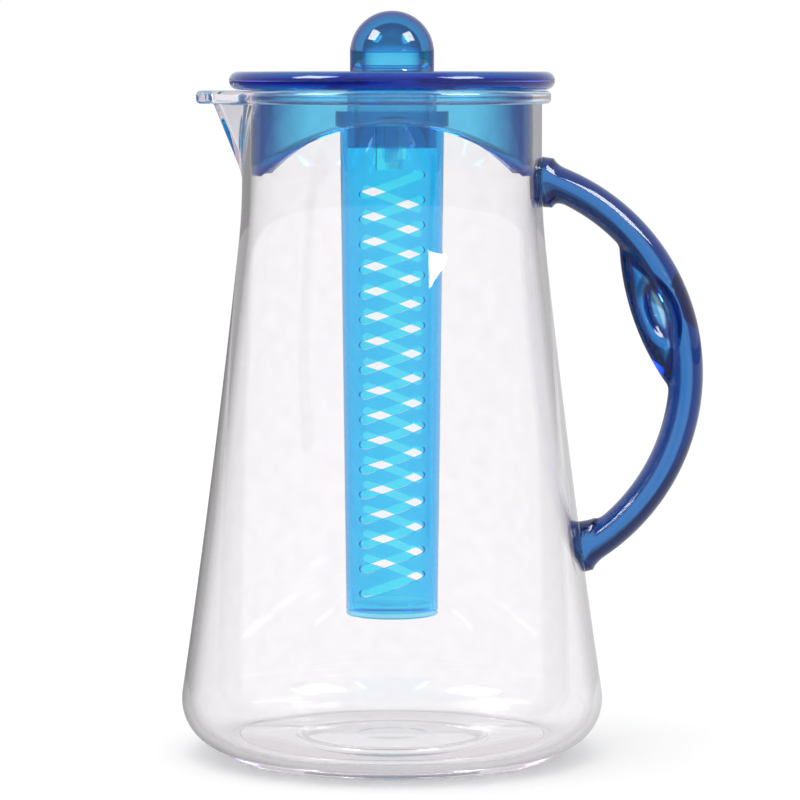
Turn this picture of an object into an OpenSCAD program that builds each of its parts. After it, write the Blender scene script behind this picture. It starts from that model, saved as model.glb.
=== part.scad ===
// Infuser carafe: clear tapered jug with a pouring beak, a blue bent handle, a two-piece
// blue lid and a slotted infuser tube that hangs from the lid on a bayonet.
// Millimetres, +Z up. The origin is on the jug's axis, on the surface that it stands on.
// The beak points to -X and the handle to +X.

/* [Carafe shell] */
// Outer radius at the low end of the flank, just above the bottom corner
belly_r = 71.6; // [66:0.2:78]
// Height of the low end of the flank
belly_z = 21.2; // [16:0.2:28]
// Outer radius of the neck
neck_r = 50.7; // [46:0.1:54]
// How far the top of the flank stands out past the neck
flare_out = 1.4; // [1:0.1:1.8]
// Height of the top of the flank, where it starts to turn upright
shoulder_z = 172; // [160:1:176]
// How far the flank is drawn in between its two ends
flank_bow = 0.7; // [0:0.1:1.5]
// Thickness of the clear wall
wall = 2.7; // [2:0.1:3.4]

/* [Rim and beak] */
// Height of the top of the rim
rim_z = 225.4; // [218:0.2:240]
// Thickness of the rim flange
rim_t = 4.4; // [3:0.1:6]
// How far the rim stands out past the neck
rim_out = 3; // [2:0.1:4]
// Rounding of the rim's edges
rim_round = 1.5; // [0.8:0.1:1.9]
// Reach of the beak's wall from the axis, at the underside of the rim
beak_reach = 60.3; // [56:0.1:66]
// How far the rim stands out past the beak's point
beak_lip = 5.9; // [3:0.1:8]
// Radius of the beak's point
beak_tip_r = 5; // [4:0.1:7]
// Angle between the axis of the beak and each of its roots on the neck
beak_half_angle = 21; // [16:1:28]
// Height of the beak below the rim flange
beak_drop = 26.5; // [18:0.5:30]

/* [Base] */
// Radius of the foot
foot_r = 56.5; // [54:0.5:60]
// Height of the foot below the shell
foot_h = 2; // [1.2:0.1:3]
// Radius of the opening that the base is welded into
opening_r = 52.6; // [48:0.2:53.5]
// Height of the base's plug above the shell's underside
plug_h = 3; // [2.8:0.1:4]
// Radius of the hollow under the base
hollow_r = 30.2; // [20:0.2:40]
// Depth of the hollow under the base
hollow_h = 3.4; // [1:0.1:3.6]
// Radius of the raised ring inside the jug over the hollow
boss_r = 33; // [30.4:0.2:42]
// Height of that raised ring
boss_h = 0.6; // [0.6:0.1:4]
// Radius of the round mark in the middle of the base
mark_r = 12; // [6:0.5:16]
// Depth of that mark
mark_h = 0.4; // [0.2:0.1:0.8]

/* [Handle] */
// Height where the handle's centre line meets the neck
handle_top_z = 196; // [190:0.5:202]
// Height where the handle's centre line meets the flank
handle_low_z = 69; // [62:0.5:80]
// Radius of the handle's centre line
handle_r = 69.6; // [66:0.2:80]
// Thickness of the handle, seen from the side
bar_t = 11.5; // [9:0.1:13]
// Width of the handle, seen from the back
bar_w = 16; // [12:0.5:20]
// Rounding of the handle's edges
bar_round = 4; // [2:0.1:4.4]
// Height of each root plate
plate_h = 15.6; // [13:0.2:18]
// Thickness of each root plate past the wall
plate_t = 3.2; // [2.6:0.1:6]
// How far each root plate's middle lies from the centre line's end, towards the middle of the handle
plate_shift = 2; // [0:0.1:3]
// Radius of the studs on the shell
stud_r = 3; // [2:0.1:3.6]
// Length of the studs
stud_l = 7; // [4:0.5:8]
// Angle of the pad's upper end on the handle's arc
pad_top_a = 43; // [36:1:50]
// Angle of the pad's lower end on the handle's arc
pad_low_a = -4; // [-12:1:4]
// How far the pad stands in from the handle's inner side
pad_depth = 9; // [7:0.1:12]
// Width of the pad
pad_w = 12; // [9:0.5:14]
// Rounding of the pad's edges
pad_round = 4; // [2:0.1:4.4]
// Length of the almond hollow in the pad
almond_l = 29; // [18:0.5:32]
// Width of the almond hollow
almond_w = 12; // [8:0.5:13]
// How deep the almond hollow is cut into the handle's side
almond_cut = 5.8; // [2:0.1:6.2]

/* [Lid] */
// Radius of the lid over its rolled rim
lid_r = 55; // [54:0.2:58]
// Height of the rolled rim
roll_h = 6.1; // [5:0.1:8]
// Thickness of the lid's top disc
disc_t = 2; // [1.5:0.1:2.6]
// Thickness of the web under the disc
web_t = 2.2; // [1.6:0.1:2.4]
// Radius of the domed knob
knob_r = 14.2; // [13:0.1:18]
// Height of the knob over the parting line of the rim
knob_h = 23.5; // [19:0.5:30]
// Thickness of the knob's wall
knob_wall = 4; // [2.5:0.1:6]
// Radius of the hole in the web
web_hole_r = 12.6; // [12.2:0.1:12.7]
// Depth of the skirt below the rim's top
skirt_h = 28.4; // [24:0.2:34]
// Thickness of the skirt
skirt_t = 3; // [2:0.1:4]
// Radius of the arches in the skirt
arch_r = 61; // [56:0.5:70]
// Depth of the arches' crowns below the rim's top
arch_drop = 10.7; // [8:0.1:14]

/* [Infuser] */
// Radius of the socket's ring
ring_r = 19.2; // [18.2:0.1:22]
// Depth of the ring's upper side below the rim's top
ring_drop = 6.9; // [4:0.1:9]
// Height of the ring
ring_h = 4.9; // [3:0.1:7]
// Height of the plug below the ring
socket_plug_h = 7.4; // [5:0.1:9]
// Thickness of the plug's wall
socket_wall = 2.4; // [1.6:0.1:2.6]
// Outer radius of the tube at its top
tube_top_r = 17.6; // [17.2:0.1:18]
// Outer radius of the tube at its lower end
tube_low_r = 15.6; // [15:0.1:16.5]
// Thickness of the tube's wall
tube_wall = 1.9; // [1.4:0.1:2.1]
// Length of the tube without its end cap
tube_l = 164; // [158:1:175]
// Number of slots on each side of the tube
slot_count = 17; // [8:1:17]
// Width of a slot
slot_w = 2.95; // [2:0.05:3.6]
// Half the width that a slot takes up across the tube
slot_reach = 10.6; // [7:0.1:12]
// Slope of the slots in degrees
slot_slope = 20; // [10:1:25]
// Depth of the first slot's middle below the tube's top
slot_drop = 19.2; // [18:0.2:24]
// Height of the last front slot's middle over the tube's lower end
slot_foot = 9.6; // [8:0.2:14]
// How much higher the back's slots lie than the front's
back_raise = 2.8; // [0:0.1:3]
// Width of the lugs and of the slot's upright leg, without play
lug_w = 2.6; // [2:0.1:3.2]
// Height of the lugs
lug_h = 2; // [1.5:0.1:2.6]
// Angle of the locked front lug to the right of the front, in degrees
lug_a = 3; // [0:1:8]
// Depth of the lugs' top below the tube's top, at the front
lug_drop = 11.9; // [10:0.1:12.4]
// Twist that frees the bayonet, in degrees
twist_a = 16; // [12:1:24]
// Thickness of the end cap
cap_t = 2; // [1.5:0.1:4]
// Height of the end cap's spigot in the tube
cap_spigot_h = 3; // [2:0.1:5]

/* [Clearances] */
// Gap between the shell and what is bonded to it
bond_gap = 0.1; // [0.05:0.01:0.2]
// Gap between the neck and the lid's skirt
skirt_gap = 0.3; // [0.2:0.05:0.8]
// Gap between the rim and the lid that rests on it
seat_gap = 0.3; // [0.1:0.05:0.5]
// Gap between the lid's cover and its lower half
lid_gap = 0.1; // [0.05:0.01:0.2]
// Radial play of the cover's spigot in the web
spigot_play = 0.08; // [0.05:0.01:0.1]
// Gap between the infuser tube and the socket
tube_gap = 0.35; // [0.3:0.01:0.45]
// Play of the lugs in the bayonet slots
lug_play = 0.25; // [0.15:0.05:0.4]

/* [Hidden] */
$fn = 96;

eps = 0.01;
past = 1;
clear_colour = [0.93, 0.95, 0.97, 0.35];
blue_colour = [0.10, 0.33, 0.70, 0.85];
dark_blue_colour = [0.08, 0.26, 0.62, 0.9];
cyan_colour = [0.10, 0.68, 0.92, 0.8];
pale_cyan_colour = [0.60, 0.84, 0.94, 0.8];

// Shell: the flank is a shallow parabola, tangent to a parabola that turns upright at the neck
// and to the arc of the bottom corner.
flank_h = shoulder_z - belly_z;
flank_top_r = neck_r + flare_out;
flank_lean = (belly_r - flank_top_r) / flank_h;
flank_top_lean = flank_lean - 4 * flank_bow / flank_h;
flank_low_lean = flank_lean + 4 * flank_bow / flank_h;
turn_h = 2 * flare_out / flank_top_lean;
low_a = atan(flank_low_lean);
corner_r = (belly_z - foot_h) / (1 + sin(low_a));
corner_x = belly_r - corner_r * cos(low_a);
corner_z = foot_h + corner_r;
rim_under_z = rim_z - rim_t;
rim_r = neck_r + rim_out;
neck_in_r = neck_r - wall;
corner_steps = 14;
flank_steps = 16;
turn_steps = 6;

// Outer radius of the shell at a height between the bottom corner and the rim
function shell_r(z) =
  z >= shoulder_z + turn_h ? neck_r
  : z >= shoulder_z ? neck_r + flare_out * pow((shoulder_z + turn_h - z) / turn_h, 2)
  : let (t = (shoulder_z - z) / flank_h)
    flank_top_r + (belly_r - flank_top_r) * t - 4 * flank_bow * t * (1 - t);

// Points of the shell's side from the flat underside up to a height, moved in by a distance
function shell_side(inset, top_z) = [
  for (i = [0:corner_steps])
    let (a = -90 + (90 + low_a) * i / corner_steps)
    [corner_x + (corner_r - inset) * cos(a), corner_z + (corner_r - inset) * sin(a)],
  for (i = [1:flank_steps])
    let (z = belly_z + flank_h * i / flank_steps)
    [shell_r(z) - inset, z],
  for (i = [1:turn_steps])
    let (z = shoulder_z + turn_h * i / turn_steps)
    [shell_r(z) - inset, z],
  [neck_r - inset, top_z]
];

// Solid of revolution bounded by the shell's side
module shell_solid(inset, bottom_z, top_z) {
  rotate_extrude()
    polygon(concat(
      [[0, bottom_z], [corner_x, bottom_z]],
      shell_side(inset, top_z),
      [[0, top_z]]
    ));
}

module rounded_square(w, h, r) {
  square([w - 2 * r, h], center = true);
  square([w, h - 2 * r], center = true);
  for (x = [-1, 1], y = [-1, 1])
    translate([x * (w / 2 - r), y * (h / 2 - r)])
      circle(r);
}

// Rim flange with rounded edges, as a ring
module rim_section() {
  translate([neck_in_r, rim_under_z])
    square([rim_r - rim_round - neck_in_r, rim_t]);
  translate([neck_in_r, rim_under_z + rim_round])
    square([rim_r - neck_in_r, rim_t - 2 * rim_round]);
  for (z = [rim_under_z + rim_round, rim_z - rim_round])
    translate([rim_r - rim_round, z])
      circle(rim_round);
}

// Plan of the beak: a point of the given radius between two roots on the neck
module beak_plan(reach, tip_r, root_r) {
  hull() {
    translate([-(reach - tip_r), 0])
      circle(tip_r, $fn = 32);
    for (side = [-1, 1])
      rotate(180 + side * beak_half_angle)
        translate([root_r - past, 0])
          circle(past, $fn = 32);
  }
}

// Wedge under the rim that narrows down to the neck
module beak_wedge(reach, tip_r, root_r, top_z, low_z) {
  hull() {
    translate([0, 0, top_z - eps])
      linear_extrude(eps)
        beak_plan(reach, tip_r, root_r);
    translate([-(root_r - past), 0, low_z])
      cylinder(r = past, h = eps, $fn = 32);
  }
}

beak_low_z = rim_under_z - beak_drop;
// The channel follows the outer wedge's slope, up through the rim
beak_slope = (beak_reach - neck_r) / beak_drop;
channel_reach = beak_reach - wall + beak_slope * (rim_t + past);
channel_tip_r = beak_tip_r - wall / 2;

stud_top_z = handle_top_z - plate_shift;
stud_low_z = handle_low_z + plate_shift;

module stud(z, r, length) {
  translate([shell_r(z) - wall / 2, 0, z])
    rotate([0, 90, 0])
      cylinder(r = r, h = wall / 2 + length);
}

module carafe_body() {
  color(clear_colour) {
    difference() {
      union() {
        shell_solid(0, foot_h, rim_under_z + rim_t / 2);
        rotate_extrude()
          rim_section();
        beak_wedge(beak_reach, beak_tip_r, neck_r, rim_under_z + eps, beak_low_z);
        translate([0, 0, rim_under_z])
          linear_extrude(rim_t)
            beak_plan(beak_reach + beak_lip, beak_tip_r + beak_lip / 2, rim_r - past / 2);
        stud(stud_top_z, stud_r, stud_l);
        stud(stud_low_z, stud_r, stud_l);
      }
      shell_solid(wall, foot_h + wall, rim_z + past);
      beak_wedge(channel_reach, channel_tip_r, neck_in_r, rim_z + past, beak_low_z + wall);
      translate([0, 0, foot_h - past])
        cylinder(r = opening_r, h = wall + 2 * past);
    }
  }
}

module base_disc() {
  plug_r = opening_r - bond_gap;
  top_z = foot_h + plug_h;
  color(clear_colour)
    difference() {
      union() {
        cylinder(r = foot_r, h = foot_h);
        cylinder(r = plug_r, h = top_z);
        cylinder(r = boss_r, h = top_z + boss_h);
      }
      translate([0, 0, -past])
        cylinder(r = hollow_r, h = hollow_h + past);
      translate([0, 0, top_z + boss_h - mark_h])
        cylinder(r = mark_r, h = mark_h + past);
    }
}

// Handle: its centre line is the arc of the given radius through both roots
root_top = [shell_r(handle_top_z), handle_top_z];
root_low = [shell_r(handle_low_z), handle_low_z];
root_span = norm(root_top - root_low);
root_dir = (root_top - root_low) / root_span;
root_mid = (root_top + root_low) / 2;
centre_off = sqrt(pow(handle_r, 2) - pow(root_span / 2, 2));
handle_c = root_mid - centre_off * [root_dir[1], -root_dir[0]];
root_top_a = atan2(root_top[1] - handle_c[1], root_top[0] - handle_c[0]);
root_low_a = atan2(root_low[1] - handle_c[1], root_low[0] - handle_c[0]);
// The bar runs on into the wall by this angle before the wall trims it
run_on_a = 7;
handle_in_r = handle_r - bar_t / 2;

// The pad's inner side is an arc through both of its ends
pad_mid_a = (pad_top_a + pad_low_a) / 2;
pad_half_a = (pad_top_a - pad_low_a) / 2;
pad_half_chord = handle_in_r * sin(pad_half_a);
pad_sag = handle_in_r * cos(pad_half_a) - (handle_in_r - pad_depth);
pad_r = (pow(pad_half_chord, 2) + pow(pad_sag, 2)) / (2 * pad_sag);
pad_c_r = handle_in_r - pad_depth + pad_r;

// Places the handle's own plane, with its centre at the origin, upright in the jug's frame
module in_handle_plane() {
  translate([handle_c[0], 0, handle_c[1]])
    rotate([90, 0, 0])
      children();
}

module bar() {
  in_handle_plane()
    rotate([0, 0, root_low_a - run_on_a])
      rotate_extrude(angle = root_top_a - root_low_a + 2 * run_on_a)
        translate([handle_r, 0])
          rounded_square(bar_t, bar_w, bar_round);
}

// Lens-shaped pad: the part of a round-edged disc that lies inside the bar's centre line
module pad() {
  in_handle_plane()
    intersection() {
      cylinder(r = handle_r, h = bar_w, center = true);
      rotate([0, 0, pad_mid_a])
        translate([pad_c_r, 0, 0])
          rotate_extrude($fn = 180)
            intersection() {
              rounded_square(2 * pad_r, pad_w, pad_round);
              translate([0, -pad_w / 2])
                square([pad_r, pad_w]);
            }
    }
}

// Spindle whose side is an arc, cut into the pad's face as an almond
module almond(side) {
  half_l = almond_l / 2;
  half_w = almond_w / 2;
  arc_r = (pow(half_l, 2) + pow(half_w, 2)) / (2 * half_w);
  in_handle_plane()
    rotate([0, 0, pad_mid_a])
      translate([handle_in_r, 0, side * (bar_w / 2 - almond_cut + half_w)])
        rotate([90, 0, 0])
          rotate_extrude()
            intersection() {
              translate([half_w - arc_r, 0])
                circle(arc_r, $fn = 180);
              translate([0, -half_l])
                square([half_w, almond_l]);
            }
}

module root_plate(z) {
  translate([shell_r(z) - wall, 0, z])
    rotate([90, 0, 90])
      linear_extrude(wall + plate_t)
        rounded_square(bar_w, plate_h, bar_round);
}

module handle() {
  color(blue_colour)
    difference() {
      union() {
        bar();
        pad();
        root_plate(stud_top_z);
        root_plate(stud_low_z);
      }
      shell_solid(-bond_gap, foot_h, rim_under_z);
      stud(stud_top_z, stud_r + bond_gap, stud_l + bond_gap);
      stud(stud_low_z, stud_r + bond_gap, stud_l + bond_gap);
      almond(1);
      almond(-1);
    }
}

// Lid: the rolled rim parts at its middle height into the cover and the lower half
roll_r = roll_h / 2;
roll_x = lid_r - roll_r;
roll_z = rim_z + seat_gap + roll_r;
cover_low_z = roll_z + lid_gap / 2;
web_top_z = roll_z - lid_gap / 2;
web_low_z = web_top_z - web_t;
knob_in_r = knob_r - knob_wall;
knob_spring_z = cover_low_z + knob_h - knob_r;
spigot_r = web_hole_r - spigot_play;
skirt_r = neck_in_r - skirt_gap;
skirt_in_r = skirt_r - skirt_t;
skirt_low_z = rim_z - skirt_h;
arch_z = rim_z - arch_drop - arch_r;

// Half of the rolled rim's section on the given side of the parting line
module roll_half(low_z) {
  intersection() {
    translate([roll_x, roll_z])
      circle(roll_r);
    translate([roll_x - roll_r, low_z])
      square([2 * roll_r, roll_r + past]);
  }
}

module lid_cover() {
  color(blue_colour)
    rotate_extrude()
      difference() {
        union() {
          roll_half(cover_low_z);
          translate([0, cover_low_z])
            square([roll_x, disc_t]);
          translate([0, cover_low_z])
            square([knob_r, knob_h - knob_r]);
          intersection() {
            translate([0, knob_spring_z])
              circle(knob_r);
            translate([0, knob_spring_z])
              square(knob_r + past);
          }
          translate([0, cover_low_z - web_t])
            square([spigot_r, web_t + past]);
        }
        translate([0, cover_low_z - web_t - past])
          square([knob_in_r, knob_spring_z - cover_low_z + web_t + past]);
        intersection() {
          translate([0, knob_spring_z])
            circle(knob_in_r);
          translate([0, knob_spring_z - eps])
            square(knob_in_r + past);
        }
      }
}

module lid_skirt() {
  color(blue_colour)
    difference() {
      rotate_extrude() {
        roll_half(web_top_z - roll_r - past);
        translate([web_hole_r, web_low_z])
          square([roll_x - web_hole_r, web_t]);
        translate([skirt_in_r, skirt_low_z])
          square([skirt_t, web_low_z - skirt_low_z + eps]);
      }
      translate([0, 0, arch_z])
        rotate([90, 0, 0])
          cylinder(r = arch_r, h = 2 * lid_r, center = true, $fn = 180);
    }
}

// Infuser: the tube slides over the socket's plug and hangs on two lugs
ring_top_z = rim_z - ring_drop;
ring_low_z = ring_top_z - ring_h;
socket_low_z = ring_low_z - socket_plug_h;
tube_top_z = ring_low_z - tube_gap;
tube_low_z = tube_top_z - tube_l;
lug_top_z = tube_top_z - lug_drop;
tongue_low_z = lug_top_z - lug_h;
tube_in_top_r = tube_top_r - tube_wall;
tube_in_low_r = tube_low_r - tube_wall;
// Radius of the tube's inside at a height
function tube_in_r(z) =
  tube_in_low_r + (tube_in_top_r - tube_in_low_r) * (z - tube_low_z) / tube_l;
plug_r = tube_in_r(tongue_low_z) - tube_gap;
plug_in_r = plug_r - socket_wall;
lug_out_r = tube_in_r(lug_top_z) + tube_wall - lug_play;
tongue_w = 2 * lug_w;

// The front's place is 0 and the back's is 1: half a turn on, and raised
module bayonet_side(i) {
  translate([0, 0, i * back_raise])
    rotate([0, 0, -90 + lug_a + 180 * i])
      children();
}

module lug() {
  intersection() {
    translate([plug_r - socket_wall / 2, -lug_w / 2, tongue_low_z])
      cube([lug_out_r - plug_r + socket_wall, lug_w, lug_h]);
    cylinder(r = lug_out_r, h = rim_z);
  }
}

// What is left standing of the plug's wall below its edge, to carry a lug
module tongue_room() {
  translate([0, -tongue_w / 2, tongue_low_z])
    cube([plug_r + past, tongue_w, rim_z]);
}

module infuser_socket() {
  color(dark_blue_colour) {
    difference() {
      rotate_extrude() {
        translate([plug_in_r, tongue_low_z])
          square([socket_wall, web_low_z - tongue_low_z]);
        translate([plug_in_r, ring_low_z])
          square([ring_r - plug_in_r, ring_h]);
      }
      difference() {
        translate([0, 0, tongue_low_z - past])
          cylinder(r = ring_r, h = socket_low_z - tongue_low_z + past);
        for (i = [0, 1])
          bayonet_side(i)
            tongue_room();
      }
    }
    for (i = [0, 1])
      bayonet_side(i)
        lug();
  }
}

// Capsule-shaped slot through one wall of the tube, level at its middle
module slot(half_l, w) {
  rotate([90, 0, 0])
    linear_extrude(tube_top_r + past) {
      square([2 * half_l, w], center = true);
      for (end = [-1, 1])
        translate([end * half_l, 0])
          circle(w / 2, $fn = 32);
    }
}

// L-shaped slot: the lug comes down the upright leg and turns into the level one
module bayonet_slot() {
  leg_w = lug_w + 2 * lug_play;
  level_h = lug_h + 2 * lug_play;
  level_z = lug_top_z + lug_play - level_h;
  wedge_r = tube_top_r + past;
  rotate([0, 0, -twist_a])
    translate([0, -leg_w / 2, level_z])
      cube([wedge_r, leg_w, tube_top_z - level_z + past]);
  translate([0, 0, level_z])
    linear_extrude(level_h)
      polygon([
        [0, 0],
        wedge_r * [cos(twist_a), -sin(twist_a)] + leg_w / 2 * [-sin(twist_a), -cos(twist_a)],
        [wedge_r, -leg_w / 2],
        [wedge_r, leg_w / 2],
        [0, leg_w / 2]
      ]);
}

module infuser_tube() {
  slot_half_l = (slot_reach - slot_w / 2) / cos(slot_slope);
  slot_pitch = (tube_l - slot_drop - slot_foot) / (slot_count - 1);
  color(cyan_colour)
    difference() {
      translate([0, 0, tube_low_z])
        cylinder(r1 = tube_low_r, r2 = tube_top_r, h = tube_l);
      translate([0, 0, tube_low_z])
        cylinder(r1 = tube_in_low_r, r2 = tube_in_top_r, h = tube_l);
      // The back's row starts one slot lower than the front's
      for (i = [0, 1], n = [i:slot_count - 1])
        translate([0, 0, tube_top_z - slot_drop - n * slot_pitch + i * back_raise])
          rotate([0, 0, 180 * i])
            rotate([0, -slot_slope, 0])
              slot(slot_half_l, slot_w);
      for (i = [0, 1])
        bayonet_side(i)
          bayonet_slot();
    }
}

module infuser_cap() {
  color(pale_cyan_colour)
    translate([0, 0, tube_low_z - cap_t]) {
      cylinder(r = tube_low_r, h = cap_t);
      cylinder(r = tube_in_low_r - bond_gap, h = cap_t + cap_spigot_h);
    }
}

carafe_body();
base_disc();
handle();
lid_cover();
lid_skirt();
infuser_socket();
infuser_tube();
infuser_cap();
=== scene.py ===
# %% [markdown]
# # Infuser carafe
#
# The carafe is a clear tapered jug with a pouring beak, a bent blue handle, a blue domed lid and a
# slotted cyan infuser that hangs from the lid. This lesson rebuilds its pieces as fine meshes in the
# CAD model's own frame, gives them see-through plastics that colour light by the distance it travels
# in them, and lights them after the manner of glass photography: white behind and grey at the sides.

import math

import bmesh
import bpy
import numpy as np
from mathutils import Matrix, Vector


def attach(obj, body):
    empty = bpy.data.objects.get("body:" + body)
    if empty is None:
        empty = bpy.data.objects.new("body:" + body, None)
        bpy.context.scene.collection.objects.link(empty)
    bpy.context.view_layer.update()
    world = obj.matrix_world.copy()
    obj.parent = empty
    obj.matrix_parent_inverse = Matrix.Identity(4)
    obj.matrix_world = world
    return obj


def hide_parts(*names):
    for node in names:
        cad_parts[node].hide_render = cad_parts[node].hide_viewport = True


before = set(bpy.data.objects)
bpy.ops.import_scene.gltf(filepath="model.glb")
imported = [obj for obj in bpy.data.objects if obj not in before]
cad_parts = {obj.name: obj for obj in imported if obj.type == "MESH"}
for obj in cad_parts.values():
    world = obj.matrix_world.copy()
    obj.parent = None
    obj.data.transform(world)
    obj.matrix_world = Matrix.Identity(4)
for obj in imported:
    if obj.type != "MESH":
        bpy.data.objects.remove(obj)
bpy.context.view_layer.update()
scene = bpy.context.scene
MM = 0.001
print("nodes:", ", ".join(sorted(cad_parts)))

# %% [markdown]
# ## Sizes
# All sizes are in millimetres and repeat the driving values of the CAD source, so that each mesh
# lies where the solid that it stands for lies. The origin is on the jug's axis, on the table.

# %% Sizes
BELLY_R, BELLY_Z, NECK_R, WALL = 71.6, 21.2, 50.7, 2.7
SHOULDER_Z, FLARE_OUT, FLANK_BOW = 172.0, 1.4, 0.7
RIM_Z, RIM_T, RIM_OUT, RIM_ROUND = 225.4, 4.4, 3.0, 1.5
BEAK_REACH, BEAK_LIP, BEAK_TIP_R, BEAK_DROP = 60.3, 5.9, 5.0, 26.5
BEAK_HALF_ANGLE = math.radians(21)
FOOT_R, FOOT_H, OPENING_R, PLUG_H = 56.5, 2.0, 52.6, 3.0
OPENING_EDGE_R, LID_MID_R = 54.0, 30.0
HOLLOW_R, HOLLOW_H, BOSS_R, BOSS_H, MARK_R, MARK_H = 30.2, 3.4, 33.0, 0.6, 12.0, 0.4
HANDLE_TOP_Z, HANDLE_LOW_Z, HANDLE_R = 196.0, 69.0, 69.6
BAR_T, BAR_W = 11.5, 16.0
PLATE_H, PLATE_T, PLATE_SHIFT = 15.6, 3.2, 2.0
PAD_TOP_A, PAD_LOW_A = math.radians(43), math.radians(-4)
PAD_DEPTH, PAD_W, PAD_EDGE, ROOT_BLEND = 9.0, 12.0, 11.0, 5.0
ALMOND_L, ALMOND_W, ALMOND_CUT = 29.0, 12.0, 5.8
LID_R, ROLL_H, DISC_T, WEB_T = 55.0, 6.1, 2.0, 2.2
KNOB_R, KNOB_H, KNOB_WALL, WEB_HOLE_R = 14.2, 23.5, 4.0, 12.6
SKIRT_H, SKIRT_T, ARCH_R, ARCH_DROP = 28.4, 3.0, 61.0, 10.7
RING_DROP, RING_H, SOCKET_PLUG_H = 6.9, 4.9, 7.4
TUBE_TOP_R, TUBE_LOW_R, TUBE_WALL, TUBE_L = 17.6, 15.6, 1.9, 164.0
SLOT_COUNT, SLOT_W, SLOT_REACH, SLOT_DROP, SLOT_FOOT = 17, 2.95, 10.6, 19.2, 9.6
SLOT_SLOPE, BACK_RAISE = math.radians(20), 2.8
LUG_W, LUG_H, LUG_DROP = 2.6, 2.0, 11.9
LUG_A, TWIST_A = math.radians(3), math.radians(16)
CAP_T, CAP_SPIGOT_H = 2.0, 3.0
BOND_GAP, SKIRT_GAP, SEAT_GAP, LID_GAP = 0.1, 0.3, 0.3, 0.1
SPIGOT_PLAY, TUBE_GAP, LUG_PLAY = 0.08, 0.35, 0.25

# Shell: a bowed flank between the arc of the bottom corner and a parabola that turns it upright
FLANK_H = SHOULDER_Z - BELLY_Z
FLANK_TOP_R = NECK_R + FLARE_OUT
FLANK_LEAN = (BELLY_R - FLANK_TOP_R) / FLANK_H
TURN_H = 2 * FLARE_OUT / (FLANK_LEAN - 4 * FLANK_BOW / FLANK_H)
LOW_A = math.atan(FLANK_LEAN + 4 * FLANK_BOW / FLANK_H)
CORNER_R = (BELLY_Z - FOOT_H) / (1 + math.sin(LOW_A))
CORNER_X, CORNER_Z = BELLY_R - CORNER_R * math.cos(LOW_A), FOOT_H + CORNER_R
RIM_UNDER_Z, RIM_R, NECK_IN_R = RIM_Z - RIM_T, NECK_R + RIM_OUT, NECK_R - WALL
RING_LOW_Z = RIM_Z - RING_DROP - RING_H
PLUG_LOW_Z = RING_LOW_Z - SOCKET_PLUG_H
BEAK_LOW_Z = RIM_UNDER_Z - BEAK_DROP


def shell_r(z):
    """Outer radius of the shell at a height above its bottom corner."""
    z = np.asarray(z, float)
    t = (SHOULDER_Z - z) / FLANK_H
    flank = FLANK_TOP_R + (BELLY_R - FLANK_TOP_R) * t - 4 * FLANK_BOW * t * (1 - t)
    turn = NECK_R + FLARE_OUT * ((SHOULDER_Z + TURN_H - z) / TURN_H) ** 2
    return np.where(z >= SHOULDER_Z + TURN_H, NECK_R, np.where(z >= SHOULDER_Z, turn, flank))


print(f"shell: radius {float(shell_r(SHOULDER_Z)):.1f} mm at the shoulder, corner radius {CORNER_R:.1f} mm")

# %% [markdown]
# ## Mesh helpers
# Most of the pieces are turned: a section of radius and height is carried around the axis. The section
# may differ from angle to angle, which makes the beak and the arches of the lid's skirt.

# %% Mesh helpers


def make_piece(name, verts, faces, sharp=35.0):
    """Object at the origin from millimetre points: doubles merged, faces outward, smooth but for edges."""
    mesh = bpy.data.meshes.new(name)
    mesh.from_pydata((np.asarray(verts) * MM).tolist(), [], faces)
    work = bmesh.new()
    work.from_mesh(mesh)
    bmesh.ops.remove_doubles(work, verts=work.verts, dist=1e-7)
    bmesh.ops.recalc_face_normals(work, faces=work.faces)
    work.to_mesh(mesh)
    work.free()
    mesh.shade_smooth()
    mesh.set_sharp_from_angle(angle=math.radians(sharp))
    piece = bpy.data.objects.new(name, mesh)
    scene.collection.objects.link(piece)
    print(f"{name}: {len(mesh.vertices)} points, {len(mesh.polygons)} faces")
    return piece


def turned(name, sections, angles, closed, sharp=35.0):
    """Solid turned about the jug's axis; a section that isn't closed starts and ends on the axis."""
    n, m = sections.shape[:2]
    across = np.stack([np.cos(angles), np.sin(angles)], -1)[:, None, :]
    verts = np.concatenate([sections[..., :1] * across, sections[..., 1:]], -1).reshape(-1, 3)
    i = np.arange(n)[:, None]
    j = np.arange(m if closed else m - 1)[None, :]
    here, there = i * m, (i + 1) % n * m
    faces = np.stack([here + j, there + j, there + (j + 1) % m, here + (j + 1) % m], -1)
    return make_piece(name, verts, faces.reshape(-1, 4).tolist(), sharp)


def arc(centre, radius, start, end, steps):
    """Points of an arc from one angle to another, in degrees."""
    a = np.radians(np.linspace(start, end, steps + 1))
    return np.stack([centre[0] + radius * np.cos(a), centre[1] + radius * np.sin(a)], -1)


def rounded(points, radius, steps=5):
    """Line of points whose inner corners are rounded by the given radii (one for each point)."""
    out = []
    for k, (here, r) in enumerate(zip(points, radius)):
        if r == 0:
            out.append(np.array([here], float))
            continue
        p, a, b = Vector(here), Vector(points[k - 1]), Vector(points[k + 1])
        u, v = (a - p).normalized(), (b - p).normalized()
        half = u.angle(v) / 2
        centre = p + (u + v).normalized() * (r / math.sin(half))
        s, e = p + u * (r / math.tan(half)) - centre, p + v * (r / math.tan(half)) - centre
        first = math.degrees(math.atan2(s.y, s.x))
        sweep = (math.degrees(math.atan2(e.y, e.x)) - first + 180) % 360 - 180
        out.append(arc(centre, r, first, first + sweep, steps))
    return np.concatenate(out)


def around(section, n):
    """The same section at n even angles."""
    return np.repeat(np.asarray(section)[None], n, 0), np.linspace(0, 2 * math.pi, n, endpoint=False)


def smooth_max(a, b, k):
    h = np.maximum(k - np.abs(a - b), 0) / k
    return np.maximum(a, b) + h * h * k / 4


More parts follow.
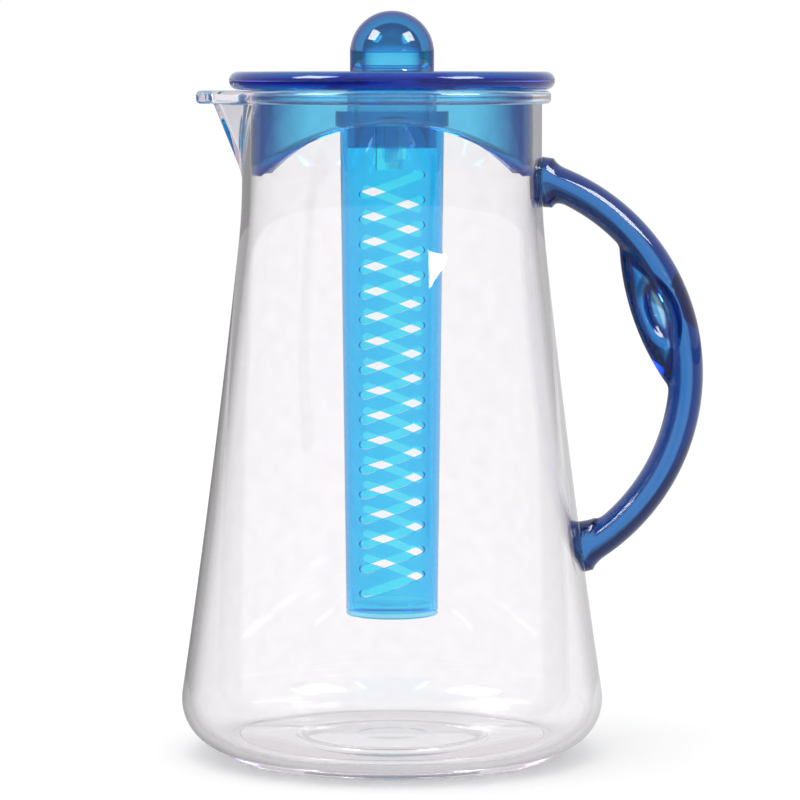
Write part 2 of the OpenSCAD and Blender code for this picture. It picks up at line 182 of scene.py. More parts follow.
# %% [markdown]
# ## Jug
# The shell is one wall from the opening in its bottom up to the rim. Near the beak each ring bulges out
# to a rounded point: the plan of the beak is scaled towards a point on the neck, as in a cone, and
# blended into the round neck.

# %% Jug


def beak_outline(reach, tip_r, root_r):
    """Half plan of the beak, as points from its tip along the tangent to its root and on past it."""
    tip = np.array([-(reach - tip_r), 0.0])
    root = (root_r - 1) * np.array([-math.cos(BEAK_HALF_ANGLE), math.sin(BEAK_HALF_ANGLE)])
    span = root - tip
    lean = math.asin((tip_r - 1) / np.hypot(*span))
    along = span / np.hypot(*span)
    out = np.array([-along[1], along[0]])
    normal = math.cos(lean) * out + math.sin(lean) * along
    turn = np.linspace(0, math.atan2(normal[1], -normal[0]), 24)
    nose = tip + tip_r * np.stack([-np.cos(turn), np.sin(turn)], -1)
    edge = root + normal - nose[-1]
    return np.concatenate([nose, nose[-1] + np.linspace(0.02, 1.7, 40)[:, None] * edge])


far = np.radians(np.linspace(-148, 148, 198, endpoint=False))
near = np.radians(np.linspace(148, 212, 160, endpoint=False))
jug_angles = np.concatenate([far, near])
from_axis = np.abs(jug_angles % (2 * math.pi) - math.pi)

outer_beak = beak_outline(BEAK_REACH, BEAK_TIP_R, NECK_R)
lip_beak = beak_outline(BEAK_REACH + BEAK_LIP, BEAK_TIP_R + BEAK_LIP / 2, RIM_R - 0.5)
beak_slope = (BEAK_REACH - NECK_R) / BEAK_DROP
inner_beak = beak_outline(BEAK_REACH - WALL + beak_slope * (RIM_T + 1), BEAK_TIP_R - WALL / 2, NECK_IN_R)


def slice_r(outline, apex_r, share):
    xy = outline * share + np.array([-apex_r, 0.0]) * (1 - share)
    polar = np.arctan2(xy[:, 1], -xy[:, 0])
    return np.interp(from_axis, polar, np.hypot(xy[:, 0], xy[:, 1]), right=0)


def outer_r(z):
    share = np.clip((z - BEAK_LOW_Z) / BEAK_DROP, 0, 1)
    plain = np.full(len(jug_angles), float(shell_r(z)))
    return smooth_max(plain, slice_r(outer_beak, NECK_R - 1, share), 1.0) if share > 0 else plain


def inner_r(z):
    low = BEAK_LOW_Z + WALL
    share = np.clip((z - low) / (RIM_Z + 1 - low), 0, 1)
    plain = np.full(len(jug_angles), float(shell_r(z)) - WALL)
    return smooth_max(plain, slice_r(inner_beak, NECK_IN_R - 1, share), 1.0) if share > 0 else plain


def ring(radius, z):
    """One point of the section at every angle."""
    return np.stack([np.broadcast_to(radius, jug_angles.shape), np.full(len(jug_angles), z)], -1)


rim_edge = smooth_max(np.full(len(jug_angles), RIM_R), slice_r(lip_beak, RIM_R, 1.0), 1.5)
rows = [ring(OPENING_R, FOOT_H), ring(OPENING_EDGE_R, FOOT_H)]
rows += [ring(r, z) for r, z in arc((CORNER_X, CORNER_Z), CORNER_R, -90, math.degrees(LOW_A), 24)]
rows += [ring(outer_r(z), z) for z in np.linspace(BELLY_Z, SHOULDER_Z, 40)[1:]]
rows += [ring(outer_r(z), z) for z in np.linspace(SHOULDER_Z, BEAK_LOW_Z, 14)[1:]]
rows += [ring(outer_r(z), z) for z in np.linspace(BEAK_LOW_Z, RIM_UNDER_Z, 24)[1:]]
for start, mid_z in ((-90, RIM_UNDER_Z + RIM_ROUND), (0, RIM_Z - RIM_ROUND)):
    for r, z in arc((0, mid_z), RIM_ROUND, start, start + 90, 7):
        rows.append(ring(rim_edge - RIM_ROUND + r, z))
lip_in = inner_r(RIM_Z)
for r, z in arc((0.6, RIM_Z - 0.6), 0.6, 90, 180, 4):
    rows.append(ring(lip_in + r, z))
rows += [ring(inner_r(z), z) for z in np.linspace(RIM_Z - 0.6, BEAK_LOW_Z, 30)[1:]]
rows += [ring(inner_r(z), z) for z in np.linspace(BEAK_LOW_Z, SHOULDER_Z, 14)[1:]]
rows += [ring(inner_r(z), z) for z in np.linspace(SHOULDER_Z, BELLY_Z, 40)[1:-1]]
rows += [ring(r, z) for r, z in arc((CORNER_X, CORNER_Z), CORNER_R - WALL, math.degrees(LOW_A), -90, 24)]
rows += [ring(OPENING_EDGE_R, FOOT_H + WALL), ring(OPENING_R, FOOT_H + WALL)]
jug = turned("jug_shell", np.stack(rows, 1), jug_angles, closed=True)

# %% [markdown]
# The base is a disc welded into that opening: a foot ring, a plug, a raised ring over the hollow
# underneath and a shallow round mark in the middle.

# %% Base
plug_r, plug_z = OPENING_R - BOND_GAP, FOOT_H + PLUG_H
base_line = [
    (0, HOLLOW_H), (HOLLOW_R, HOLLOW_H), (HOLLOW_R, 0), (FOOT_R, 0), (FOOT_R, FOOT_H - 0.06),
    (plug_r, FOOT_H - 0.06), (plug_r, plug_z), (BOSS_R, plug_z), (BOSS_R, plug_z + BOSS_H),
    (MARK_R, plug_z + BOSS_H), (MARK_R, plug_z + BOSS_H - MARK_H), (0, plug_z + BOSS_H - MARK_H),
]
base_section = rounded(base_line, [0, 0.6, 0.8, 0.6, 0.5, 0, 0.5, 0.25, 0.25, 0.15, 0.15, 0])
base = turned("base_disc_moulded", *around(base_section, 256), closed=False)

# %% [markdown]
# ## Handle
# The handle is a rule rather than a list of points: an oval bar bent along an arc, joined to a thumb
# pad and two root plates with a small blend, less two almond hollows. The rule gives each point in
# space its distance from the surface; a surface net turns it into a mesh, and each of its points is
# then drawn onto the surface.

# %% Handle
root_top = np.array([float(shell_r(HANDLE_TOP_Z)), HANDLE_TOP_Z])
root_low = np.array([float(shell_r(HANDLE_LOW_Z)), HANDLE_LOW_Z])
span = np.hypot(*(root_top - root_low))
direction = (root_top - root_low) / span
to_centre = math.sqrt(HANDLE_R**2 - span**2 / 4)
handle_c = (root_top + root_low) / 2 - to_centre * np.array([direction[1], -direction[0]])
HANDLE_IN_R = HANDLE_R - BAR_T / 2
PAD_MID_A, PAD_HALF_A = (PAD_TOP_A + PAD_LOW_A) / 2, (PAD_TOP_A - PAD_LOW_A) / 2
pad_sag = HANDLE_IN_R * math.cos(PAD_HALF_A) - (HANDLE_IN_R - PAD_DEPTH)
PAD_R = ((HANDLE_IN_R * math.sin(PAD_HALF_A)) ** 2 + pad_sag**2) / (2 * pad_sag)
PAD_C_R = HANDLE_IN_R - PAD_DEPTH + PAD_R
STUD_ZS = (HANDLE_TOP_Z - PLATE_SHIFT, HANDLE_LOW_Z + PLATE_SHIFT)


def handle_distance(x, y, z):
    u, w = x - handle_c[0], z - handle_c[1]
    rho = np.hypot(u, w)
    plan = np.abs(rho - HANDLE_R) - BAR_T / 2
    for stud_z in STUD_ZS:
        foot_x = float(shell_r(stud_z))
        plate = np.maximum(np.abs(z - stud_z) - PLATE_H / 2, np.abs(x - foot_x) - PLATE_T)
        plan = -smooth_max(-plan, -plate, ROOT_BLEND)
    from_line = np.maximum(plan + BAR_T / 2, 0) / (BAR_T / 2)
    solid = (np.hypot(from_line, y / (BAR_W / 2)) - 1) * BAR_T / 2
    c, s = math.cos(PAD_MID_A), math.sin(PAD_MID_A)
    out, along = u * c + w * s, w * c - u * s
    from_edge = np.maximum(np.hypot(out - PAD_C_R, along) - PAD_R + PAD_EDGE, 0) / PAD_EDGE
    pad = (np.hypot(from_edge, y / (PAD_W / 2)) - 1) * PAD_W / 2
    solid = -smooth_max(-solid, -np.maximum(pad, rho - HANDLE_R), 0.8)
    half_l, half_w = ALMOND_L / 2, ALMOND_W / 2
    bend = (half_l**2 + half_w**2) / (2 * half_w)
    beside = np.hypot(out - HANDLE_IN_R, np.abs(y) - (BAR_W / 2 - ALMOND_CUT + half_w))
    almond = np.hypot(beside + bend - half_w, along) - bend
    solid = smooth_max(solid, -almond, 1.2)
    return np.maximum(solid, shell_r(z) + BOND_GAP - np.hypot(x, y))


def surface_net(rule, low, high, step):
    """Points and four-sided faces of the surface where the rule is zero."""
    axes = [np.arange(a, b + step, step) for a, b in zip(low, high)]
    field = rule(*np.meshgrid(*axes, indexing="ij"))
    cells = tuple(n - 1 for n in field.shape)
    total, hits = np.zeros(cells + (3,)), np.zeros(cells)
    corner = lambda d: field[tuple(slice(k, k + n) for k, n in zip(d, cells))]
    for axis in range(3):
        for a in (0, 1):
            for b in (0, 1):
                d0 = [a, b]
                d0.insert(axis, 0)
                d1 = list(d0)
                d1[axis] = 1
                f0, f1 = corner(d0), corner(d1)
                cross = (f0 < 0) != (f1 < 0)
                t = np.where(cross, f0 / np.where(cross, f0 - f1, 1), 0)
                for k in range(3):
                    total[..., k] += cross * (d0[k] + (t if k == axis else 0))
                hits += cross
    used = hits > 0
    index = np.full(cells, -1)
    index[used] = np.arange(used.sum())
    points = np.array(low) + (np.argwhere(used) + total[used] / hits[used][:, None]) * step
    faces = []
    for axis in range(3):
        lo = [slice(1, -1)] * 3
        hi = [slice(1, -1)] * 3
        lo[axis], hi[axis] = slice(0, -1), slice(1, None)
        cross = np.argwhere((field[tuple(lo)] < 0) != (field[tuple(hi)] < 0))
        p, q = [k for k in range(3) if k != axis]
        cell = cross.copy()
        cell[:, p] += 1
        cell[:, q] += 1
        quad = []
        for dp, dq in ((1, 1), (0, 1), (0, 0), (1, 0)):
            c = cell.copy()
            c[:, p] -= dp
            c[:, q] -= dq
            quad.append(index[tuple(c.T)])
        faces.append(np.stack(quad, -1))
    return points, np.concatenate(faces)


def slope(rule, points, h=0.02):
    """Gradient of the rule at the points, by small steps."""
    steps = np.eye(3) * h
    return np.stack([(rule(*(points + s).T) - rule(*(points - s).T)) / (2 * h) for s in steps], -1)


net, net_faces = surface_net(handle_distance, (46.0, -8.7, 58.0), (106.8, 8.7, 207.0), 0.5)
for _ in range(3):
    grad = slope(handle_distance, net)
    miss = np.clip(handle_distance(*net.T), -0.2, 0.2)[:, None]
    net = net - miss * grad / np.maximum((grad**2).sum(-1), 0.25)[:, None]
handle = make_piece("handle_moulded", net, net_faces.tolist(), sharp=50)
normals = slope(handle_distance, np.array([v.co for v in handle.data.vertices]) / MM)
handle.data.normals_split_custom_set_from_vertices(normals / np.linalg.norm(normals, axis=1, keepdims=True))

# %% [markdown]
# ## Lid
# The lid is two turned halves that meet along the middle of the rolled rim. The upper half carries the
# hollow domed knob. The lower half has the skirt that fits into the neck, cut by an arch on each side.

# %% Lid
ROLL_R = ROLL_H / 2
ROLL_X, ROLL_Z = LID_R - ROLL_R, RIM_Z + SEAT_GAP + ROLL_R
COVER_LOW_Z, WEB_TOP_Z = ROLL_Z + LID_GAP / 2, ROLL_Z - LID_GAP / 2
WEB_LOW_Z = WEB_TOP_Z - WEB_T
KNOB_IN_R, KNOB_SPRING_Z = KNOB_R - KNOB_WALL, COVER_LOW_Z + KNOB_H - KNOB_R
SPIGOT_R = WEB_HOLE_R - SPIGOT_PLAY
DISC_TOP_Z = COVER_LOW_Z + DISC_T
SKIRT_R = NECK_IN_R - SKIRT_GAP
SKIRT_IN_R, SKIRT_LOW_Z, ARCH_Z = SKIRT_R - SKIRT_T, RIM_Z - SKIRT_H, RIM_Z - ARCH_DROP - ARCH_R

roll_start = 180 - math.degrees(math.asin((DISC_TOP_Z - ROLL_Z) / ROLL_R))
roll_end = math.degrees(math.asin(LID_GAP / 2 / ROLL_R))
cover_section = np.concatenate([
    arc((0, KNOB_SPRING_Z), KNOB_R, 90, 0, 40),
    arc((KNOB_R + 1.0, DISC_TOP_Z + 1.0), 1.0, 180, 270, 6),
    [(LID_MID_R, DISC_TOP_Z)],
    arc((ROLL_X, ROLL_Z), ROLL_R, roll_start, roll_end, 22),
    [(LID_MID_R, COVER_LOW_Z), (SPIGOT_R, COVER_LOW_Z), (SPIGOT_R, COVER_LOW_Z - WEB_T)],
    [(KNOB_IN_R, COVER_LOW_Z - WEB_T)],
    arc((0, KNOB_SPRING_Z), KNOB_IN_R, 0, 90, 40),
])
cover_section[0, 0] = cover_section[-1, 0] = 0
lid_cover = turned("lid_cover_moulded", *around(cover_section, 320), closed=False)

skirt_angles = np.linspace(0, 2 * math.pi, 480, endpoint=False)


def skirt_edge(r):
    """Height of the skirt's lower edge at every angle, at a radius: the arches run along Y."""
    x = r * np.cos(skirt_angles)
    return np.maximum(ARCH_Z + np.sqrt(np.maximum(ARCH_R**2 - x**2, 0)), SKIRT_LOW_Z)


def skirt_ring(r, z):
    return np.stack([np.full(len(skirt_angles), r), np.broadcast_to(z, skirt_angles.shape)], -1)


low_start = -math.degrees(math.asin(LID_GAP / 2 / ROLL_R))
low_end = -180 + math.degrees(math.asin((ROLL_Z - WEB_LOW_Z) / ROLL_R))
out_edge, in_edge = skirt_edge(SKIRT_R), skirt_edge(SKIRT_IN_R)
rows = [skirt_ring(WEB_HOLE_R, WEB_TOP_Z), skirt_ring(LID_MID_R, WEB_TOP_Z)]
rows += [skirt_ring(r, z) for r, z in arc((ROLL_X, ROLL_Z), ROLL_R, low_start, low_end, 22)]
rows += [skirt_ring(SKIRT_R, WEB_LOW_Z + (out_edge + 0.7 - WEB_LOW_Z) * t) for t in np.linspace(0, 1, 10)]
rows += [skirt_ring(SKIRT_R - r, out_edge + z) for r, z in ((0.2, 0.2), (0.7, 0.0))]
rows += [skirt_ring(SKIRT_IN_R + r, in_edge + z) for r, z in ((0.7, 0.0), (0.2, 0.2))]
rows += [skirt_ring(SKIRT_IN_R, WEB_LOW_Z + (in_edge + 0.7 - WEB_LOW_Z) * t) for t in np.linspace(1, 0, 10)]
rows += [skirt_ring(LID_MID_R, WEB_LOW_Z), skirt_ring(WEB_HOLE_R, WEB_LOW_Z)]
lid_skirt = turned("lid_skirt_moulded", np.stack(rows, 1), skirt_angles, closed=True)

# %% [markdown]
# ## Infuser
# Geometry Nodes cut the tube. A slot with round ends is swept from a filleted rectangle and put on a
# line of points for the front. The back has one slot fewer, half a turn on and a little higher. Two
# short bars make the L-shaped slot of the bayonet on each side. One difference takes them all out.

# %% Node helper


def add_node(tree, kind, sockets=None, **settings):
    """Adds a node. A socket takes either a value or another node's output, which is linked to it."""
    node = tree.nodes.new(kind)
    for key, value in settings.items():
        setattr(node, key, value)
    for key, value in (sockets or {}).items():
        for item in value if isinstance(value, list) else [value]:
            if isinstance(item, bpy.types.NodeSocket):
                tree.links.new(item, node.inputs[key])
            else:
                node.inputs[key].default_value = item
    return node


# %% [markdown]
# ## Materials
# All the plastics are see-through. Their colour is not on the surface: light loses red, green and blue
# at different rates for each metre it travels inside. Thin walls look pale and long ways through look
# deep, as in the real mouldings. Each surface has the faint waves of a moulding and a little haze.
#
# Three things are not physics. A surface that turns away takes a painted edge shade, which stands in for
# the dark surroundings seen at the edges. Some parts, such as the knob's dome, the handle's pad, the
# socket's plug and the wall around the base's hollow, have a painted deeper shade than the rest of their
# piece.
# Light that is mirrored inside again and again is let out, or a thick corner would render black.

# %% Materials


def linear(colour):
    """Linear red, green, blue and alpha of an sRGB colour such as "F4F2F4"."""
    parts = [int(colour[k : k + 2], 16) / 255 for k in (0, 2, 4)]
    return tuple(p / 12.92 if p <= 0.04045 else ((p + 0.055) / 1.055) ** 2.4 for p in parts) + (1.0,)


UPRIGHT, CROSSWISE = (1, 1, 0), (1, 0, 1)
SMEAR_MM = 6
TRAPPED_AFTER = 2.5


def see_through(name, loss, tints, wave_mm, wave_height_mm, haze, edge,
                painted_shade_zone=(0, 0, 0, "FFFFFF"), middle=(0, 0, 0), around_axis=UPRIGHT):
    """Clear plastic. Loss is the red, green and blue light lost per metre, edge the painted shade where the
    surface turns away, and painted_shade_zone a part between two heights and within a radius of an axis
    that gets a painted deeper shade."""
    material = bpy.data.materials.new(name)
    material.use_nodes = True
    tree = material.node_tree
    tree.nodes.clear()
    place = add_node(tree, "ShaderNodeTexCoord").outputs["Object"]
    waves = add_node(tree, "ShaderNodeTexNoise", {
        "Vector": place, "Scale": 1 / (wave_mm * MM), "Detail": 1.0,
    })
    smears = add_node(tree, "ShaderNodeTexNoise", {
        "Vector": place, "Scale": 1 / (SMEAR_MM * MM), "Detail": 4.0,
    })
    flow = add_node(tree, "ShaderNodeValToRGB", {"Fac": smears.outputs["Fac"]})
    for stop, (at, tint) in zip(flow.color_ramp.elements, ((0.3, tints[0]), (0.7, tints[1]))):
        stop.position, stop.color = at, linear(tint)
    # Painted edge shade: where the surface turns away the colour is mixed toward the edge colour, standing
    # in for the dark surroundings seen at the edges
    facing = add_node(tree, "ShaderNodeLayerWeight", {"Blend": 0.5}).outputs["Facing"]
    painted_edge_shade = add_node(tree, "ShaderNodeMapRange", {
        "Value": facing, "From Min": edge[0], "From Max": edge[1],
    })
    shaded = add_node(tree, "ShaderNodeMix", {
        "Factor": painted_edge_shade.outputs["Result"], 6: flow.outputs["Color"], 7: linear(edge[2]),
    }, data_type="RGBA")
    # Painted deeper shade: between two heights and within a radius of the axis, the colour is multiplied by
    # a darker colour
    parts = add_node(tree, "ShaderNodeSeparateXYZ", {"Vector": place})
    centre = tuple(part * MM for part in middle)
    offset = add_node(tree, "ShaderNodeVectorMath", {0: place, 1: centre}, operation="SUBTRACT")
    flat = add_node(tree, "ShaderNodeVectorMath", {
        0: offset.outputs[0], 1: around_axis,
    }, operation="MULTIPLY")
    out = add_node(tree, "ShaderNodeVectorMath", {0: flat.outputs[0]}, operation="LENGTH")
    in_painted_shade_zone = 1.0
    for value, test, limit in (
        (parts.outputs["Z"], "GREATER_THAN", painted_shade_zone[0]), (parts.outputs["Z"], "LESS_THAN", painted_shade_zone[1]),
        (out.outputs["Value"], "LESS_THAN", painted_shade_zone[2]),
    ):
        passed = add_node(tree, "ShaderNodeMath", {0: value, 1: limit * MM}, operation=test)
        product = add_node(tree, "ShaderNodeMath", {
            0: in_painted_shade_zone, 1: passed.outputs[0],
        }, operation="MULTIPLY")
        in_painted_shade_zone = product.outputs[0]
    shaded = add_node(tree, "ShaderNodeMix", {
        "Factor": in_painted_shade_zone, 6: shaded.outputs[2], 7: linear(painted_shade_zone[3]),
    }, data_type="RGBA", blend_type="MULTIPLY")
    rough = add_node(tree, "ShaderNodeMapRange", {
        "Value": smears.outputs["Fac"], "From Min": 0.35, "From Max": 0.75,
        "To Min": haze[0], "To Max": haze[1],
    })
    bump = add_node(tree, "ShaderNodeBump", {
        "Height": waves.outputs["Fac"], "Strength": 1.0, "Distance": wave_height_mm * MM,
    })
    surface = add_node(tree, "ShaderNodeBsdfPrincipled", {
        "Base Color": shaded.outputs[2], "Roughness": rough.outputs["Result"],
        "Normal": bump.outputs["Normal"], "IOR": 1.49, "Transmission Weight": 1.0,
    })
    density = max(loss) * 1.02
    inside = add_node(tree, "ShaderNodeVolumeAbsorption", {
        "Color": tuple(1 - part / density for part in loss) + (1.0,), "Density": density,
    })
    # Light that was mirrored inside three times leaves straight on
    mirrored = add_node(tree, "ShaderNodeLightPath").outputs["Glossy Depth"]
    trapped = add_node(tree, "ShaderNodeMath", {0: mirrored, 1: TRAPPED_AFTER}, operation="GREATER_THAN")
    leak = add_node(tree, "ShaderNodeBsdfTransparent")
    mixed = add_node(tree, "ShaderNodeMixShader", {
        0: trapped.outputs[0], 1: surface.outputs["BSDF"], 2: leak.outputs["BSDF"],
    })
    add_node(tree, "ShaderNodeOutputMaterial", {
        "Surface": mixed.outputs[0], "Volume": inside.outputs["Volume"],
    })
    return material


# Clear acrylic: a breath of pink-violet in the thickness, as the jug's wall shows against white, and a
# grey painted edge shade where the surface turns away
clear_acrylic = see_through(
    "clear_acrylic_moulded", (3, 5.5, 3.5), ("FCFBFC", "FFFFFF"), 26, 0.006, (0.0, 0.01),
    (0.68, 0.97, "A8A4AA"))
# The base is the same acrylic, with a painted grey shade on the wall around the hollow underneath
base_acrylic = see_through(
    "base_acrylic_moulded", (1, 2, 1), ("FCFBFC", "FFFFFF"), 26, 0.006, (0.0, 0.01),
    (0.9, 1.0, "F0EEF2"),
    (0.2, HOLLOW_H - 0.2, HOLLOW_R + 0.3, "8C888E"))
# Blue acrylic of the lid: deep blue in the thick roll, sky blue in the thin skirt; the dome is deep by its
# thickness and by a painted deeper shade, and turned-away surfaces get a painted edge shade
blue_acrylic = see_through(
    "blue_acrylic_moulded", (310, 66, 16), ("F4F7FC", "FFFFFF"), 16, 0.003, (0.0, 0.03),
    (0.2, 0.6, "3C509C"),
    (KNOB_SPRING_Z, KNOB_SPRING_Z + KNOB_R + 1, KNOB_R + 1, "A8D4EE"))
# The handle is the same acrylic in a thick bar, with a painted edge shade on the sides along its clear
# middle and a pad deepened by its thickness and by a painted deeper shade
PAD_ZS = [handle_c[1] + HANDLE_IN_R * math.sin(a) for a in (PAD_LOW_A - 0.1, PAD_TOP_A + 0.1)]
handle_acrylic = see_through(
    "handle_acrylic_moulded", (205, 104, 41), ("F4F7FC", "FFFFFF"), 16, 0.002, (0.0, 0.02),
    (0.06, 0.14, "1E3070"),
    (PAD_ZS[0], PAD_ZS[1], HANDLE_IN_R, "7EC6EC"), (handle_c[0], 0, handle_c[1]), CROSSWISE)
# The socket under the lid is a denser blue, deepest in the plug that enters the tube, which gets a
# painted deeper shade; turned-away surfaces get a painted edge shade
dark_blue_acrylic = see_through(
    "dark_blue_acrylic_moulded", (200, 85, 40), ("F2F5FC", "FFFFFF"), 12, 0.006, (0.02, 0.05),
    (0.4, 0.9, "3C4A78"),
    (PLUG_LOW_Z - 0.1, RING_LOW_Z, TUBE_TOP_R, "1CC8E0"))
# Cyan plastic of the slotted tube: almost no red gets through a single wall; turned-away surfaces get
# a painted edge shade
cyan_plastic = see_through(
    "cyan_plastic_moulded", (1500, 130, 12), ("F2FAFD", "FFFFFF"), 14, 0.008, (0.02, 0.06),
    (0.7, 1.0, "58B8E8"))
# The tube's end disc is the same plastic, far paler, with a faint painted edge shade
pale_cyan_plastic = see_through(
    "pale_cyan_plastic_moulded", (45, 8, 2), ("F2FAFD", "FFFFFF"), 10, 0.008, (0.06, 0.1),
    (0.9, 1.0, "C8E8F8"))
print("materials:", ", ".join(m.name for m in bpy.data.materials if m.name.endswith("moulded")))

# %% [markdown]
# The plain tube and its end disc are turned. The tree that follows has named inputs for its sizes.

# %% Infuser tube
TUBE_TOP_Z = RING_LOW_Z - TUBE_GAP
TUBE_LOW_Z = TUBE_TOP_Z - TUBE_L
side_zs = np.linspace(TUBE_LOW_Z, TUBE_TOP_Z, 42)
side_rs = np.linspace(TUBE_LOW_R, TUBE_TOP_R, 42)
tube_section = np.concatenate([
    np.stack([side_rs, side_zs], -1), np.stack([side_rs - TUBE_WALL, side_zs], -1)[::-1],
])
tube = turned("infuser_tube_moulded", *around(tube_section, 144), closed=True)

tree = bpy.data.node_groups.new("slotted_tube", "GeometryNodeTree")
tree.is_modifier = True
tree.interface.new_socket("Geometry", in_out="INPUT", socket_type="NodeSocketGeometry")
tree.interface.new_socket("Geometry", in_out="OUTPUT", socket_type="NodeSocketGeometry")
slot_half = (SLOT_REACH - SLOT_W / 2) / math.cos(SLOT_SLOPE)
leg_w, level_h = LUG_W + 2 * LUG_PLAY, LUG_H + 2 * LUG_PLAY
level_z = TUBE_TOP_Z - LUG_DROP + LUG_PLAY - level_h / 2
leg_h = TUBE_TOP_Z + 1 - (level_z - level_h / 2)
level_w = leg_w + TWIST_A * (TUBE_TOP_R - TUBE_WALL)
values = {
    "Slots": SLOT_COUNT,
    "Slot length": (2 * slot_half + SLOT_W) * MM,
    "Slot width": SLOT_W * MM,
    "Slot slope": -SLOT_SLOPE,
    "First slot": (0, 0, (TUBE_TOP_Z - SLOT_DROP) * MM),
    "Slot step": (0, 0, -(TUBE_L - SLOT_DROP - SLOT_FOOT) / (SLOT_COUNT - 1) * MM),
    "Back raise": (0, 0, BACK_RAISE * MM),
    "Reach": (0, 0, (TUBE_TOP_R + 1) * MM),
    "Leg size": (leg_w * MM, 8 * MM, leg_h * MM),
    "Leg place": (0, -TUBE_TOP_R * MM, (level_z - level_h / 2 + leg_h / 2) * MM),
    "Leg turn": (0, 0, LUG_A - TWIST_A),
    "Level size": (level_w * MM, 8 * MM, level_h * MM),
    "Level place": (0, -TUBE_TOP_R * MM, level_z * MM),
    "Level turn": (0, 0, LUG_A - TWIST_A / 2),
    "Plastic": cyan_plastic,
}
socket_kinds = {int: "NodeSocketInt", float: "NodeSocketFloat", tuple: "NodeSocketVector"}
sockets = {}
for label, value in values.items():
    kind = socket_kinds.get(type(value), "NodeSocketMaterial")
    sockets[label] = tree.interface.new_socket(label, in_out="INPUT", socket_type=kind).identifier
given = add_node(tree, "NodeGroupInput").outputs
rectangle = add_node(tree, "GeometryNodeCurvePrimitiveQuadrilateral", {
    "Width": given["Slot length"], "Height": given["Slot width"],
})
half_width = add_node(tree, "ShaderNodeMath", {0: given["Slot width"], 1: 0.499}, operation="MULTIPLY")
stadium = add_node(tree, "GeometryNodeFilletCurve", {
    "Curve": rectangle.outputs[0], "Count": 10, "Radius": half_width.outputs[0],
}, mode="POLY")
line = add_node(tree, "GeometryNodeCurvePrimitiveLine", {"End": given["Reach"]})
bar = add_node(tree, "GeometryNodeCurveToMesh", {
    "Curve": line.outputs[0], "Profile Curve": stadium.outputs[0], "Fill Caps": True,
})
upright = add_node(tree, "GeometryNodeTransform", {
    "Geometry": bar.outputs[0], "Rotation": (math.pi / 2, 0, 0),
})
lean = add_node(tree, "ShaderNodeCombineXYZ", {"Y": given["Slot slope"]})
sloped = add_node(tree, "GeometryNodeTransform", {
    "Geometry": upright.outputs[0], "Rotation": lean.outputs[0],
})
row = add_node(tree, "GeometryNodeMeshLine", {
    "Count": given["Slots"], "Start Location": given["First slot"], "Offset": given["Slot step"],
})
slots = add_node(tree, "GeometryNodeInstanceOnPoints", {
    "Points": row.outputs[0], "Instance": sloped.outputs[0],
})
fewer = add_node(tree, "ShaderNodeMath", {0: given["Slots"], 1: 1.0}, operation="SUBTRACT")
second = add_node(tree, "ShaderNodeVectorMath", {
    0: given["First slot"], 1: given["Slot step"],
}, operation="ADD")
back_row = add_node(tree, "GeometryNodeMeshLine", {
    "Count": fewer.outputs[0], "Start Location": second.outputs[0], "Offset": given["Slot step"],
})
back_slots = add_node(tree, "GeometryNodeInstanceOnPoints", {
    "Points": back_row.outputs[0], "Instance": sloped.outputs[0],
})
legs = []
for part in ("Leg", "Level"):
    block = add_node(tree, "GeometryNodeMeshCube", {"Size": given[part + " size"]})
    moved = add_node(tree, "GeometryNodeTransform", {
        "Geometry": block.outputs[0], "Translation": given[part + " place"],
    })
    legs.append(add_node(tree, "GeometryNodeTransform", {
        "Geometry": moved.outputs[0], "Rotation": given[part + " turn"],
    }).outputs[0])
front = add_node(tree, "GeometryNodeJoinGeometry", {"Geometry": [slots.outputs[0]] + legs})
back_cut = add_node(tree, "GeometryNodeJoinGeometry", {"Geometry": [back_slots.outputs[0]] + legs})
back = add_node(tree, "GeometryNodeTransform", {
    "Geometry": back_cut.outputs[0], "Translation": given["Back raise"], "Rotation": (0, 0, math.pi),
})
both = add_node(tree, "GeometryNodeJoinGeometry", {"Geometry": [front.outputs[0], back.outputs[0]]})
cutters = add_node(tree, "GeometryNodeRealizeInstances", {"Geometry": both.outputs[0]})
cut = add_node(tree, "GeometryNodeMeshBoolean", {
    "Mesh 1": given["Geometry"], "Mesh 2": cutters.outputs[0], "Self Intersection": True,
}, operation="DIFFERENCE", solver="EXACT")
plain = add_node(tree, "GeometryNodeRealizeInstances", {"Geometry": cut.outputs[0]})
painted = add_node(tree, "GeometryNodeSetMaterial", {
    "Geometry": plain.outputs[0], "Material": given["Plastic"],
})
add_node(tree, "NodeGroupOutput", {"Geometry": painted.outputs[0]})

slotting = tube.modifiers.new("slotted_tube", "NODES")
slotting.node_group = tree
for label, identifier in sockets.items():
    slotting[identifier] = values[label]
baked = bpy.data.meshes.new_from_object(tube.evaluated_get(bpy.context.evaluated_depsgraph_get()))
tube.modifiers.remove(slotting)
tube.data = baked
baked.shade_smooth()
baked.set_sharp_from_angle(angle=math.radians(35))
print(f"infuser tube: {len(baked.polygons)} faces after {2 * SLOT_COUNT - 1} slots")

cap_in_r = TUBE_LOW_R - TUBE_WALL - BOND_GAP
cap_line = [
    (0, TUBE_LOW_Z - CAP_T), (TUBE_LOW_R, TUBE_LOW_Z - CAP_T), (TUBE_LOW_R, TUBE_LOW_Z - 0.06),
    (cap_in_r, TUBE_LOW_Z - 0.06), (cap_in_r, TUBE_LOW_Z + CAP_SPIGOT_H), (0, TUBE_LOW_Z + CAP_SPIGOT_H),
]
cap = turned("infuser_cap_moulded", *around(rounded(cap_line, [0, 0.7, 0, 0, 0.5, 0]), 144), closed=False)

# %% [markdown]
# ## Fit the pieces to the model
# Each piece rides on the body that moves it, gets its plastic and takes the place of its CAD node, which
# is hidden. The socket's CAD shape is right as it is, so it stays and only gets its plastic.

